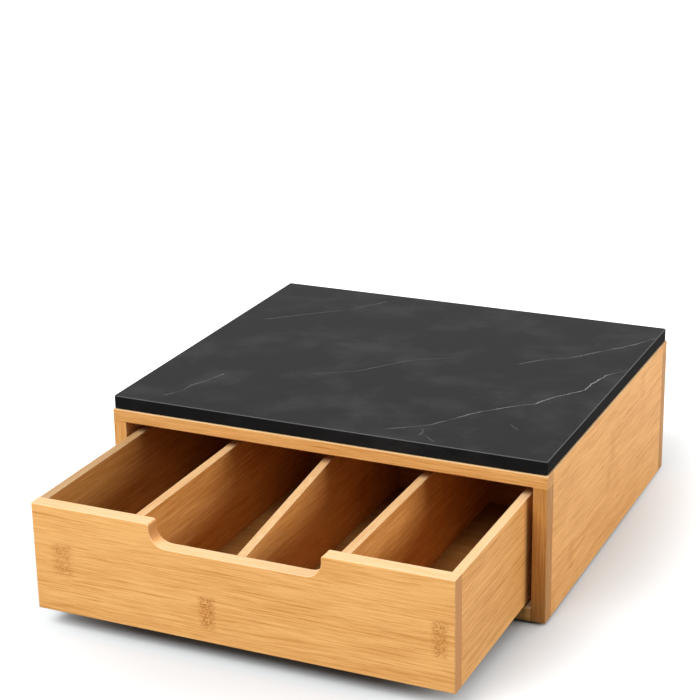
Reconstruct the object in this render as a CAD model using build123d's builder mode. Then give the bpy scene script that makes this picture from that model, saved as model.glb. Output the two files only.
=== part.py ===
"""Countertop drawer for coffee pods: a bamboo case with a stone top and one sliding drawer.

The case is four boards between a front frame and a back frame. It stands on four rubber feet and
carries the stone top on thin pads. The drawer runs on two glide strips and is divided front to
back into equal compartments. At rest it stands part open, as it is used.

Axes: X across the front, Y from front to back, Z up. The origin is the middle of the plan
outline at rest, on the surface that the feet stand on. All sizes are in millimetres.
"""

from build123d import *
import os

os.makedirs("parts", exist_ok=True)

# ------------------------------------------------------------------ driving sizes

# Case: a box of boards, with a frame of strips across its front edges and one across its back.
case_width = 350.0
case_depth = 310.0
case_height = 114.0
side_board = 11.0  # thickness of each upright side, and width of the stiles
deck_board = 10.0  # thickness of the board under the stone top, and height of the top rails
floor_board = 11.0  # thickness of the board under the drawer, and height of the bottom rails
frame_depth = 12.0  # front to back size of the frames' strips
eased_edge = 0.8  # rounding or bevel on the edges that a hand touches

# Back panel, held in a groove all round, ahead of the back frame.
back_panel_thickness = 6.0
back_panel_margin = 1.5  # wood left between the back frame's dowel holes and the panel
back_groove_depth = 4.0
groove_play = 0.1  # clearance on each side of a board in its groove
groove_end_gap = 0.2  # clearance between a board's edge and the bottom of its groove

# Stone top, on thin pads.
slab_thickness = 10.0
slab_inset = 1.0  # how far the slab stays inside the case's outline
slab_corner_radius = 1.5
slab_pad_thickness = 0.8
slab_pad_radius = 8.0
slab_pad_margin = 26.0  # from the case's outer faces to the pad centres

# Feet.
foot_height = 2.0
foot_radius = 9.0
foot_bevel = 0.6
foot_margin = 26.0  # from the case's outer faces to the foot centres

# Glide strips that the drawer's sides run on.
glide_thickness = 2.0
glide_width = 14.0
glide_setback = 8.0  # from the front frame to the strips' front ends
running_clearance = 0.3  # between the drawer and what it slides on

# Drawer box.
drawer_open = 138.0  # how far the drawer stands open at rest
drawer_side_gap = 4.0
drawer_top_gap = 8.7
drawer_back_gap = 0.5  # left behind the drawer when it is closed
front_board = 11.0
wall_board = 7.0  # sides and back of the drawer
divider_board = 7.0
compartment_count = 4
bottom_thickness = 4.0
bottom_rise = 5.0  # from the drawer's lower edge to its bottom board
bottom_groove_depth = 3.5

# Finger notch in the drawer front, and the slope that brings a divider down to its floor.
notch_width = 130.0
notch_depth = 17.0
notch_corner_radius = 12.0
notch_lip_radius = 2.5
slope_length = 140.0

# Dowels. Each hole is a little wider and longer than its dowel's share.
case_dowel_radius = 3.0
case_dowel_in_side = 7.0
case_dowel_in_board = 17.0
case_dowel_margin = 36.0  # from the boards' ends to the first and last dowel
case_dowels_per_joint = 3
small_dowel_radius = 2.0
small_dowel_in_face = 5.0
small_dowel_in_end = 7.0
rail_dowel_margin = 55.0  # from the case's outer faces to the outer dowels of the rails
dowels_per_rail = 3
stile_dowel_margin = 20.0  # from the opening's floor and ceiling to the dowels in the stiles
drawer_dowel_heights = (20.0, 52.0)  # above the drawer's lower edge
dowel_play = 0.1  # radial clearance of a dowel in its hole
dowel_end_gap = 0.5  # free space past each end of a dowel

# ------------------------------------------------------------------ derived places

# The plan outline at rest runs from the open drawer's front to the case's back.
case_front_y = (drawer_open - case_depth) / 2
case_back_y = case_front_y + case_depth
boards_front_y = case_front_y + frame_depth
boards_back_y = case_back_y - frame_depth
boards_middle_y = (boards_front_y + boards_back_y) / 2
board_length = boards_back_y - boards_front_y

case_bottom_z = foot_height
floor_z = case_bottom_z + floor_board
case_top_z = case_bottom_z + case_height
ceiling_z = case_top_z - deck_board
opening_height = ceiling_z - floor_z
opening_width = case_width - 2 * side_board
opening_x = opening_width / 2
stile_x = opening_x + side_board / 2

back_panel_outer_y = boards_back_y - small_dowel_in_end - dowel_end_gap - back_panel_margin
back_panel_inner_y = back_panel_outer_y - back_panel_thickness
back_groove_width = back_panel_thickness + 2 * groove_play
back_groove_y = (back_panel_inner_y + back_panel_outer_y) / 2
back_panel_reach = back_groove_depth - groove_end_gap

slab_bottom_z = case_top_z + slab_pad_thickness

drawer_width = opening_width - 2 * drawer_side_gap
drawer_bottom_z = floor_z + glide_thickness + running_clearance
drawer_top_z = ceiling_z - drawer_top_gap
drawer_height = drawer_top_z - drawer_bottom_z
drawer_front_y = case_front_y - drawer_open
drawer_depth = back_panel_inner_y - drawer_back_gap - case_front_y
drawer_back_y = drawer_front_y + drawer_depth
inside_front_y = drawer_front_y + front_board
inside_back_y = drawer_back_y - wall_board
inside_middle_y = (inside_front_y + inside_back_y) / 2
inside_length = inside_back_y - inside_front_y
inside_width = drawer_width - 2 * wall_board
inside_x = inside_width / 2
wall_x = inside_x + wall_board / 2
bottom_low_z = drawer_bottom_z + bottom_rise
bottom_top_z = bottom_low_z + bottom_thickness
bottom_reach = bottom_groove_depth - groove_end_gap
bottom_groove_height = bottom_thickness + 2 * groove_play
notch_floor_z = drawer_top_z - notch_depth

divider_count = compartment_count - 1
compartment_width = (inside_width - divider_count * divider_board) / compartment_count
divider_pitch = compartment_width + divider_board
divider_xs = [(i - (divider_count - 1) / 2) * divider_pitch for i in range(divider_count)]


def evenly(first, last, count):
    """Evenly spaced places from first to last."""
    return [first + (last - first) * i / (count - 1) for i in range(count)]


# Dowel places. Those along X are (y, z) points, those along Y are (x, z) points.
first_dowel_y = boards_front_y + case_dowel_margin
last_dowel_y = boards_back_y - case_dowel_margin
case_dowel_ys = evenly(first_dowel_y, last_dowel_y, case_dowels_per_joint)
deck_middle_z = ceiling_z + deck_board / 2
floor_middle_z = case_bottom_z + floor_board / 2
deck_dowel_points = [(y, deck_middle_z) for y in case_dowel_ys]
floor_dowel_points = [(y, floor_middle_z) for y in case_dowel_ys]
rail_dowel_x = case_width / 2 - rail_dowel_margin
rail_dowel_xs = evenly(-rail_dowel_x, rail_dowel_x, dowels_per_rail)
top_rail_points = [(x, deck_middle_z) for x in rail_dowel_xs]
bottom_rail_points = [(x, floor_middle_z) for x in rail_dowel_xs]
stile_dowel_zs = (floor_z + stile_dowel_margin, ceiling_z - stile_dowel_margin)
drawer_dowel_zs = [drawer_bottom_z + height for height in drawer_dowel_heights]
corner_dowel_points = [(x, z) for x in (-wall_x, wall_x) for z in drawer_dowel_zs]
divider_dowel_points = [(x, z) for x in divider_xs for z in drawer_dowel_zs]
small_dowel_length = small_dowel_in_face + small_dowel_in_end

# The two sides of the case, and its two frames: each frame's outer face, the way inwards from
# it, and the plane where its strips meet the boards.
sides = (("left", -1), ("right", 1))
frames = (
    ("front", case_front_y, 1, boards_front_y),
    ("back", case_back_y, -1, boards_back_y),
)

# ------------------------------------------------------------------ repeated features


def rods_along_x(points, start_x, radius, length, mode=Mode.ADD):
    """Add or cut round rods from start_x, centred on (y, z) points. A negative length is to -X."""
    with BuildSketch(Plane.YZ.offset(start_x)) as ends:
        with Locations(*points):
            Circle(radius)
    extrude(ends.sketch, amount=length, mode=mode)


def rods_along_y(points, start_y, radius, length, mode=Mode.ADD):
    """Add or cut round rods from start_y, centred on (x, z) points. A negative length is to -Y."""
    with BuildSketch(Plane.XZ.offset(-start_y)) as ends:
        with Locations(*points):
            Circle(radius)
    extrude(ends.sketch, amount=-length, mode=mode)


def case_dowel_holes(points, face_x, depth):
    """Cut the case's dowel holes into a face at face_x, towards +X, or -X for a negative depth."""
    spare = dowel_end_gap if depth > 0 else -dowel_end_gap
    rods_along_x(points, face_x, case_dowel_radius + dowel_play, depth + spare, Mode.SUBTRACT)


def small_dowel_holes(points, face_y, depth):
    """Cut small dowel holes into a face at face_y, towards +Y, or -Y for a negative depth."""
    spare = dowel_end_gap if depth > 0 else -dowel_end_gap
    rods_along_y(points, face_y, small_dowel_radius + dowel_play, depth + spare, Mode.SUBTRACT)


def bevel_opening_edge(face_y, inward, corner_z, rise):
    """Bevel a rail's outer edge at corner_z, between the stiles. The rail lies on the rise side."""
    with BuildSketch(Plane.YZ.offset(-opening_x)) as bevel:
        with BuildLine():
            Polyline(
                (face_y, corner_z),
                (face_y + inward * eased_edge, corner_z),
                (face_y, corner_z + rise),
                close=True,
            )
        make_face()
    extrude(bevel.sketch, amount=opening_width, mode=Mode.SUBTRACT)


# ------------------------------------------------------------------ case boards

# Upright sides, over the ends of deck and floor.
for side, sign in sides:
    inner_x = sign * opening_x
    with BuildPart() as case_side:
        with BuildSketch(Plane.XY.offset(case_bottom_z)):
            with Locations((sign * stile_x, boards_middle_y)):
                Rectangle(side_board, board_length)
        extrude(amount=case_height)
        outer_face = case_side.faces().sort_by(Axis.X)[0 if sign < 0 else -1]
        fillet(outer_face.edges().filter_by(Axis.Y), radius=eased_edge)
        with BuildSketch(Plane.XY.offset(floor_z - back_groove_depth)):
            with Locations((inner_x + sign * back_groove_depth / 2, back_groove_y)):
                Rectangle(back_groove_depth, back_groove_width)
        extrude(amount=opening_height + 2 * back_groove_depth, mode=Mode.SUBTRACT)
        case_dowel_holes(deck_dowel_points + floor_dowel_points, inner_x, sign * case_dowel_in_side)
        for end, face_y, inward, joint_y in frames:
            small_dowel_holes(
                [(sign * stile_x, z) for z in stile_dowel_zs], joint_y, inward * small_dowel_in_end
            )
    case_side.part.label = f"case_{side}_side"
    export_step(case_side.part, f"parts/case_{side}_side.step")

# Deck board under the stone, between the sides.
with BuildPart() as case_top_panel:
    with BuildSketch(Plane.XY.offset(ceiling_z)):
        with Locations((0, boards_middle_y)):
            Rectangle(opening_width, board_length)
    extrude(amount=deck_board)
    with BuildSketch(Plane.XY.offset(ceiling_z)):
        with Locations((0, back_groove_y)):
            Rectangle(opening_width, back_groove_width)
    extrude(amount=back_groove_depth, mode=Mode.SUBTRACT)
    for side, sign in sides:
        case_dowel_holes(deck_dowel_points, sign * opening_x, -sign * case_dowel_in_board)
    for end, face_y, inward, joint_y in frames:
        small_dowel_holes(top_rail_points, joint_y, inward * small_dowel_in_end)
case_top_panel.part.label = "case_top_panel"
export_step(case_top_panel.part, "parts/case_top_panel.step")

# Floor board under the drawer, between the sides.
with BuildPart() as case_bottom_panel:
    with BuildSketch(Plane.XY.offset(case_bottom_z)):
        with Locations((0, boards_middle_y)):
            Rectangle(opening_width, board_length)
    extrude(amount=floor_board)
    with BuildSketch(Plane.XY.offset(floor_z)):
        with Locations((0, back_groove_y)):
            Rectangle(opening_width, back_groove_width)
    extrude(amount=-back_groove_depth, mode=Mode.SUBTRACT)
    for side, sign in sides:
        case_dowel_holes(floor_dowel_points, sign * opening_x, -sign * case_dowel_in_board)
    for end, face_y, inward, joint_y in frames:
        small_dowel_holes(bottom_rail_points, joint_y, inward * small_dowel_in_end)
case_bottom_panel.part.label = "case_bottom_panel"
export_step(case_bottom_panel.part, "parts/case_bottom_panel.step")

# Back panel, let into the grooves of the four boards around it.
with BuildPart() as case_back_panel:
    with BuildSketch(Plane.XY.offset(floor_z - back_panel_reach)):
        with Locations((0, back_groove_y)):
            Rectangle(opening_width + 2 * back_panel_reach, back_panel_thickness)
    extrude(amount=opening_height + 2 * back_panel_reach)
case_back_panel.part.label = "case_back_panel"
export_step(case_back_panel.part, "parts/case_back_panel.step")

# Dowels between the sides and the two boards between them.
with BuildPart() as case_dowels:
    for side, sign in sides:
        rods_along_x(
            deck_dowel_points + floor_dowel_points,
            sign * (opening_x + case_dowel_in_side),
            case_dowel_radius,
            -sign * (case_dowel_in_side + case_dowel_in_board),
        )
case_dowels.part.label = "case_dowels"
export_step(case_dowels.part, "parts/case_dowels.step")

# Glide strips on the floor board, under the drawer's sides.
for side, sign in sides:
    glide_front_y = boards_front_y + glide_setback
    with BuildPart() as glide_strip:
        with BuildSketch(Plane.XY.offset(floor_z)):
            with Locations(
                (sign * (opening_x - glide_width / 2), (glide_front_y + back_panel_inner_y) / 2)
            ):
                Rectangle(glide_width, back_panel_inner_y - glide_front_y)
        extrude(amount=glide_thickness)
        front_top_edge = glide_strip.edges().group_by(Axis.Z)[-1].sort_by(Axis.Y)[0]
        chamfer(front_top_edge, length=glide_thickness / 2)
    glide_strip.part.label = f"{side}_glide_strip"
    export_step(glide_strip.part, f"parts/{side}_glide_strip.step")

# ------------------------------------------------------------------ front and back frames

for end, face_y, inward, joint_y in frames:
    strip_y = (face_y + joint_y) / 2
    outer = 0 if end == "front" else -1

    # Top rail: across the whole width, on the stiles.
    with BuildPart() as top_rail:
        with BuildSketch(Plane.XY.offset(ceiling_z)):
            with Locations((0, strip_y)):
                Rectangle(case_width, frame_depth)
        extrude(amount=deck_board)
        top_face = top_rail.faces().sort_by(Axis.Z)[-1]
        outer_corners = top_rail.edges().filter_by(Axis.Z).group_by(Axis.Y)[outer]
        fillet(
            top_face.edges().filter_by(Axis.Y)
            + top_face.edges().filter_by(Axis.X).sort_by(Axis.Y)[outer]
            + outer_corners,
            radius=eased_edge,
        )
        bevel_opening_edge(face_y, inward, ceiling_z, eased_edge)
        small_dowel_holes(top_rail_points, joint_y, -inward * small_dowel_in_face)
    top_rail.part.label = f"{end}_top_rail"
    export_step(top_rail.part, f"parts/{end}_top_rail.step")

    # Bottom rail: between the stiles.
    with BuildPart() as bottom_rail:
        with BuildSketch(Plane.XY.offset(case_bottom_z)):
            with Locations((0, strip_y)):
                Rectangle(opening_width, frame_depth)
        extrude(amount=floor_board)
        low_edges = bottom_rail.edges().filter_by(Axis.X).group_by(Axis.Z)[0]
        fillet(low_edges.sort_by(Axis.Y)[outer], radius=eased_edge)
        bevel_opening_edge(face_y, inward, floor_z, -eased_edge)
        small_dowel_holes(bottom_rail_points, joint_y, -inward * small_dowel_in_face)
    bottom_rail.part.label = f"{end}_bottom_rail"
    export_step(bottom_rail.part, f"parts/{end}_bottom_rail.step")

    # Stiles: upright, from the case's lower edge to the top rail.
    for side, sign in sides:
        with BuildPart() as stile:
            with BuildSketch(Plane.XY.offset(case_bottom_z)):
                with Locations((sign * stile_x, strip_y)):
                    Rectangle(side_board, frame_depth)
            extrude(amount=ceiling_z - case_bottom_z)
            low_face = stile.faces().sort_by(Axis.Z)[0]
            fillet(
                stile.edges().filter_by(Axis.Z).group_by(Axis.Y)[outer]
                + low_face.edges().filter_by(Axis.X).sort_by(Axis.Y)[outer]
                + low_face.edges().filter_by(Axis.Y).sort_by(Axis.X)[0 if sign < 0 else -1],
                radius=eased_edge,
            )
            small_dowel_holes(
                [(sign * stile_x, z) for z in stile_dowel_zs], joint_y, -inward * small_dowel_in_face
            )
        stile.part.label = f"{end}_{side}_stile"
        export_step(stile.part, f"parts/{end}_{side}_stile.step")

# Dowels between the frames and the boards.
with BuildPart() as frame_dowels:
    stile_points = [(sign * stile_x, z) for side, sign in sides for z in stile_dowel_zs]
    for end, face_y, inward, joint_y in frames:
        rods_along_y(
            top_rail_points + bottom_rail_points + stile_points,
            joint_y - inward * small_dowel_in_face,
            small_dowel_radius,
            inward * small_dowel_length,
        )
frame_dowels.part.label = "frame_dowels"
export_step(frame_dowels.part, "parts/frame_dowels.step")

# ------------------------------------------------------------------ stone top and feet

# Stone slab, with its upright corners rounded and its upper edges eased.
with BuildPart() as marble_top:
    with BuildSketch(Plane.XY.offset(slab_bottom_z)):
        with Locations((0, (case_front_y + case_back_y) / 2)):
            Rectangle(case_width - 2 * slab_inset, case_depth - 2 * slab_inset)
    extrude(amount=slab_thickness)
    fillet(marble_top.edges().filter_by(Axis.Z), radius=slab_corner_radius)
    fillet(marble_top.faces().sort_by(Axis.Z)[-1].edges(), radius=eased_edge)
marble_top.part.label = "marble_top"
export_step(marble_top.part, "parts/marble_top.step")

# Thin round pads between the slab and the deck, in two rows of three.
pad_x = case_width / 2 - slab_pad_margin
pad_ys = (case_front_y + slab_pad_margin, case_back_y - slab_pad_margin)
with BuildPart() as slab_pads:
    with BuildSketch(Plane.XY.offset(case_top_z)):
        with Locations(*[(x, y) for x in (-pad_x, 0, pad_x) for y in pad_ys]):
            Circle(slab_pad_radius)
    extrude(amount=slab_pad_thickness)
slab_pads.part.label = "slab_pads"
export_step(slab_pads.part, "parts/slab_pads.step")

# Feet under the floor board, one at each corner.
for end, face_y, inward, joint_y in frames:
    for side, sign in sides:
        with BuildPart() as foot:
            with BuildSketch():
                with Locations((sign * (case_width / 2 - foot_margin), face_y + inward * foot_margin)):
                    Circle(foot_radius)
            extrude(amount=foot_height)
            chamfer(foot.edges().group_by(Axis.Z)[0], length=foot_bevel)
        foot.part.label = f"foot_{end}_{side}"
        export_step(foot.part, f"parts/foot_{end}_{side}.step")

# ------------------------------------------------------------------ drawer

# Front board, over the ends of the drawer's sides. The finger notch is cut from its top edge.
with BuildPart() as drawer_front:
    with BuildSketch(Plane.XZ.offset(-inside_front_y)) as front_outline:
        with Locations((0, drawer_bottom_z + drawer_height / 2)):
            Rectangle(drawer_width, drawer_height)
        with Locations((0, drawer_top_z - notch_depth / 2)):
            Rectangle(notch_width, notch_depth, mode=Mode.SUBTRACT)
        notch_floor_corners = front_outline.vertices().group_by(Axis.Y)[1]
        fillet(notch_floor_corners, radius=notch_corner_radius)
        notch_lips = front_outline.vertices().group_by(Axis.Y)[-1].sort_by(Axis.X)[1:-1]
        fillet(notch_lips, radius=notch_lip_radius)
    extrude(amount=front_board)
    fillet(drawer_front.faces().sort_by(Axis.Y)[0].edges(), radius=eased_edge)
    with BuildSketch(Plane.XZ.offset(-inside_front_y)):
        with Locations((0, bottom_low_z + bottom_thickness / 2)):
            Rectangle(inside_width + 2 * bottom_groove_depth, bottom_groove_height)
    extrude(amount=bottom_groove_depth, mode=Mode.SUBTRACT)
    small_dowel_holes(corner_dowel_points + divider_dowel_points, inside_front_y, -small_dowel_in_face)
drawer_front.part.label = "drawer_front"
export_step(drawer_front.part, "parts/drawer_front.step")

# Sides, between the front and the back, grooved for the bottom board.
for side, sign in sides:
    with BuildPart() as drawer_side:
        with BuildSketch(Plane.XY.offset(drawer_bottom_z)):
            with Locations((sign * wall_x, inside_middle_y)):
                Rectangle(wall_board, inside_length)
        extrude(amount=drawer_height)
        fillet(drawer_side.edges().filter_by(Axis.Y).group_by(Axis.Z)[-1], radius=eased_edge)
        with BuildSketch(Plane.XY.offset(bottom_low_z - groove_play)):
            with Locations((sign * (inside_x + bottom_groove_depth / 2), inside_middle_y)):
                Rectangle(bottom_groove_depth, inside_length)
        extrude(amount=bottom_groove_height, mode=Mode.SUBTRACT)
        end_points = [(sign * wall_x, z) for z in drawer_dowel_zs]
        small_dowel_holes(end_points, inside_front_y, small_dowel_in_end)
        small_dowel_holes(end_points, inside_back_y, -small_dowel_in_end)
    drawer_side.part.label = f"drawer_{side}_side"
    export_step(drawer_side.part, f"parts/drawer_{side}_side.step")

# Back board, across the ends of the sides.
with BuildPart() as drawer_back:
    with BuildSketch(Plane.XY.offset(drawer_bottom_z)):
        with Locations((0, (inside_back_y + drawer_back_y) / 2)):
            Rectangle(drawer_width, wall_board)
    extrude(amount=drawer_height)
    back_top_edge = drawer_back.edges().filter_by(Axis.X).group_by(Axis.Z)[-1].sort_by(Axis.Y)[-1]
    fillet(back_top_edge, radius=eased_edge)
    with BuildSketch(Plane.XZ.offset(-inside_back_y)):
        with Locations((0, bottom_low_z + bottom_thickness / 2)):
            Rectangle(inside_width + 2 * bottom_groove_depth, bottom_groove_height)
    extrude(amount=-bottom_groove_depth, mode=Mode.SUBTRACT)
    small_dowel_holes(corner_dowel_points + divider_dowel_points, inside_back_y, small_dowel_in_face)
drawer_back.part.label = "drawer_back"
export_step(drawer_back.part, "parts/drawer_back.step")

# Bottom board, let into the grooves of the four boards around it.
with BuildPart() as drawer_bottom:
    with BuildSketch(Plane.XY.offset(bottom_low_z)):
        with Locations((0, inside_middle_y)):
            Rectangle(inside_width + 2 * bottom_reach, inside_length + 2 * bottom_reach)
    extrude(amount=bottom_thickness)
drawer_bottom.part.label = "drawer_bottom"
export_step(drawer_bottom.part, "parts/drawer_bottom.step")

# Dividers, from left to right. One that ends behind the finger notch slopes down to its floor.
for number, x in enumerate(divider_xs, start=1):
    behind_notch = abs(x) < notch_width / 2
    with BuildPart() as divider:
        with BuildSketch(Plane.YZ.offset(x - divider_board / 2)):
            with BuildLine():
                outline = [
                    (inside_front_y, bottom_top_z),
                    (inside_back_y, bottom_top_z),
                    (inside_back_y, drawer_top_z),
                ]
                if behind_notch:
                    outline.append((inside_front_y + slope_length, drawer_top_z))
                    outline.append((inside_front_y, notch_floor_z))
                else:
                    outline.append((inside_front_y, drawer_top_z))
                Polyline(*outline, close=True)
            make_face()
        extrude(amount=divider_board)
        upper_edges = divider.edges().filter_by(lambda edge: edge.center().Z > notch_floor_z)
        long_edges = upper_edges.filter_by(Axis.X, reverse=True).filter_by(Axis.Z, reverse=True)
        fillet(long_edges, radius=eased_edge)
        end_points = [(x, z) for z in drawer_dowel_zs]
        small_dowel_holes(end_points, inside_front_y, small_dowel_in_end)
        small_dowel_holes(end_points, inside_back_y, -small_dowel_in_end)
    divider.part.label = f"divider_{number}"
    export_step(divider.part, f"parts/divider_{number}.step")

# Dowels at the drawer's corners.
front_dowel_y = inside_front_y - small_dowel_in_face
back_dowel_y = inside_back_y + small_dowel_in_face
with BuildPart() as drawer_dowels:
    rods_along_y(corner_dowel_points, front_dowel_y, small_dowel_radius, small_dowel_length)
    rods_along_y(corner_dowel_points, back_dowel_y, small_dowel_radius, -small_dowel_length)
drawer_dowels.part.label = "drawer_dowels"
export_step(drawer_dowels.part, "parts/drawer_dowels.step")

# Dowels at the dividers' ends.
with BuildPart() as divider_dowels:
    rods_along_y(divider_dowel_points, front_dowel_y, small_dowel_radius, small_dowel_length)
    rods_along_y(divider_dowel_points, back_dowel_y, small_dowel_radius, -small_dowel_length)
divider_dowels.part.label = "divider_dowels"
export_step(divider_dowels.part, "parts/divider_dowels.step")
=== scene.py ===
"""Dresses the coffee pod drawer: bamboo case and drawer, black stone top, rubber feet, studio."""

import math

import bpy
from bpy.props import FloatProperty, FloatVectorProperty, PointerProperty
from mathutils import Matrix, Vector


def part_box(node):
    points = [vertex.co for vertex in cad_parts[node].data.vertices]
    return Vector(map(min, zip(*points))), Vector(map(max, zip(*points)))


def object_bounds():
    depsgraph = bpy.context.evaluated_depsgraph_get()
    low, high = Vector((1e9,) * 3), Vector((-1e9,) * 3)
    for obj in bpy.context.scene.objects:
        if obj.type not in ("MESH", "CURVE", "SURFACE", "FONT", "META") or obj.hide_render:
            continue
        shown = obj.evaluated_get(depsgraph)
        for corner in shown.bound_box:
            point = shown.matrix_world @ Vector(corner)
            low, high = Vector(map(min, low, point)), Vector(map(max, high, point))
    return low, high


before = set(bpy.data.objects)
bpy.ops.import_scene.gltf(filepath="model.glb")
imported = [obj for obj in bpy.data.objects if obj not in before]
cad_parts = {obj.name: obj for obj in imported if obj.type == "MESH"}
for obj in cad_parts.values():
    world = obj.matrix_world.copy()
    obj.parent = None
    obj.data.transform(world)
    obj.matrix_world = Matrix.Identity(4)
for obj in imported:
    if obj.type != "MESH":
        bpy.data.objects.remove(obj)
cad_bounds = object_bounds()

bl_info = {
    "name": "Coffee Pod Drawer",
    "version": (1, 0, 0),
    "blender": (4, 5, 0),
    "location": "3D View > Sidebar > Pod Drawer",
    "description": "Gives the coffee pod drawer its bamboo, stone and rubber, and sets up the studio",
    "category": "Object",
}

METRES_TO_MM = 1000.0

# Which way each board's grain runs: (along the grain, across the strips, through the board).
ACROSS_FRONT = ("X", "Z", "Y")
ALONG_DEPTH = ("Y", "Z", "X")
UPRIGHT = ("Z", "X", "Y")
FLAT_ACROSS = ("X", "Y", "Z")
FLAT_DEEP = ("Y", "X", "Z")

# Scales of the noises in bamboo, per millimetre along the grain, across the strips and through.
BEND_SCALE = (0.006, 0.03, 0.03)
FIBRE_SCALE = (0.034, 1.2, 1.2)
STREAK_SCALE = (0.012, 0.45, 0.45)
BAND_SCALE = (0.010, 0.05, 0.05)
HAIR_SCALE = (0.018, 1.15, 1.15)
END_DOT_SCALE = (0.0, 1.5, 1.5)
DASH_SCALE = (0.55, 0.95, 0.7)
RAGGED_SCALE = (0.0, 0.55, 0.3)

# What each layer does to the tone of bamboo, which goes from 0, dark fibre, to 1, pale face.
MIDDLE_TONE = 0.68
FIBRE_TONE = 2.1
STREAK_TONE = 0.7
BAND_TONE = 0.6
PALE_HAIR_TONE = 0.25
DARK_HAIR_TONE = -0.45

BEND = 5.0  # mm, how far the fibres wander across the grain
RAGGED = 5.0  # mm, how ragged the ends of a knuckle's patch are
PATTERN_STEP = (137.0, 61.0, 29.0)  # mm that the pattern moves from one board's number to the next

# Seeds of the random numbers that each strip has.
STRIP_TONE_SEED = (3.0, 7.0)
KNUCKLE_START_SEED = (11.0, 5.0)

# A face comes to count as facing along an axis as that part of its normal goes from one to the other.
FACING = (0.6, 0.95)
FACING_UP = (0.2, 0.6)

# Scales of the noises in the stone, per millimetre.
CLOUD_SCALE = (0.018, 0.018, 0.04)
GRAIN_SCALE = (1.1, 1.1, 1.1)
WANDER_SCALE = (0.07, 0.07, 0.07)
BREAK_SCALE = (0.05, 0.05, 0.05)
WANDER = 6.0  # mm, how far a vein wanders from its line

BAMBOO_SPECULAR = 0.12  # specular level of the lacquer
STONE_SPECULAR = 0.035  # specular level of the honed stone

FLOOR_HALF = 6.0  # m, from the middle of the floor to its edge
OCCLUSION_SAMPLES = 16

# The camera that sees the drawer as it was photographed.
CAMERA_PLACE = (0.5468, -1.2238, 0.6331)
CAMERA_YAW = math.radians(24.608)
CAMERA_PITCH = math.radians(19.496)
CAMERA_ROLL = math.radians(-0.972)
CAMERA_LENS = 96.06  # mm
CAMERA_SENSOR = 36.0  # mm
PHOTO_SIDE = 700.0  # pixels along each side of the photograph

# The four soft lamps: name, place, width and height, in metres. All point at the target.
LAMP_TARGET = (0.0, -0.02, 0.06)
LAMPS = (
    ("key", (-0.63, -1.97, 2.33), 1.9, 1.5),
    ("top", (-0.5, 0.75, 2.1), 1.5, 1.2),
    ("fill", (2.0, 0.25, 0.85), 1.2, 0.8),
    ("back", (1.2, 2.4, 1.1), 1.4, 1.0),
)


# ---------------------------------------------------------------------------
# Sizes and colours that can be changed
# ---------------------------------------------------------------------------


def colour_property(name, description, default):
    """A colour shown as a swatch, in linear values."""
    return FloatVectorProperty(
        name=name, description=description, subtype="COLOR", size=3, min=0.0, max=1.0, default=default
    )


class BambooSettings(bpy.types.PropertyGroup):
    """Colours and pattern sizes of the laminated bamboo."""

    face: colour_property("Face", "Pale colour of a board's wide faces", (0.920, 0.502, 0.174))
    deep: colour_property("Deep", "Colour of the darker fibres", (0.600, 0.250, 0.055))
    # The edge colour is partly a painted highlight: it makes the narrow faces and eased edges paler.
    edge: colour_property("Edge", "Colour of the sanded narrow faces", (0.745, 0.550, 0.325))
    end: colour_property("End", "Colour of the end grain", (0.600, 0.290, 0.105))
    mark: colour_property("Mark", "Colour of the speckles in a knuckle", (0.440, 0.150, 0.030))
    strip_width: FloatProperty(
        name="Strip width",
        description="Width of the strips that a board is pressed from",
        default=0.0235,
        unit="LENGTH",
    )
    strip_spread: FloatProperty(
        name="Strip spread",
        description="How much the strips differ in tone",
        default=0.10,
        min=0.0,
        max=1.0,
    )
    knuckle_spacing: FloatProperty(
        name="Knuckle spacing",
        description="Distance between two knuckles along a strip",
        default=0.31,
        unit="LENGTH",
    )
    knuckle_length: FloatProperty(
        name="Knuckle length",
        description="Length of a knuckle along the grain",
        default=0.015,
        unit="LENGTH",
    )
    roughness: FloatProperty(
        name="Roughness", description="Roughness of the satin lacquer", default=0.50, min=0.0, max=1.0
    )


class StoneSettings(bpy.types.PropertyGroup):
    """Colours and veins of the black top."""

    base: colour_property("Base", "Colour of the black ground", (0.0160, 0.0160, 0.0163))
    cloud: colour_property("Cloud", "Colour of the faint grey clouds", (0.0335, 0.0335, 0.0340))
    vein: colour_property("Vein", "Colour of the pale veins", (0.260, 0.250, 0.240))
    # The edge colour is a painted highlight: a pale line along the eased edges of the top.
    edge: colour_property(
        "Edge", "Colour of the eased edge, where the polish is broken", (0.170, 0.170, 0.172)
    )
    vein_width: FloatProperty(
        name="Vein width", description="Width of a main vein", default=0.0007, unit="LENGTH"
    )
    roughness: FloatProperty(
        name="Roughness", description="Roughness of the honed stone", default=0.48, min=0.0, max=1.0
    )


class TrimSettings(bpy.types.PropertyGroup):
    """Colours of the feet, pads and dowels."""

    rubber: colour_property("Rubber", "Colour of the feet", (0.022, 0.021, 0.020))
    pad: colour_property("Pad", "Colour of the pads under the stone", (0.050, 0.048, 0.045))
    dowel: colour_property("Dowel", "Colour of the beech dowels", (0.620, 0.400, 0.220))


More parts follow.
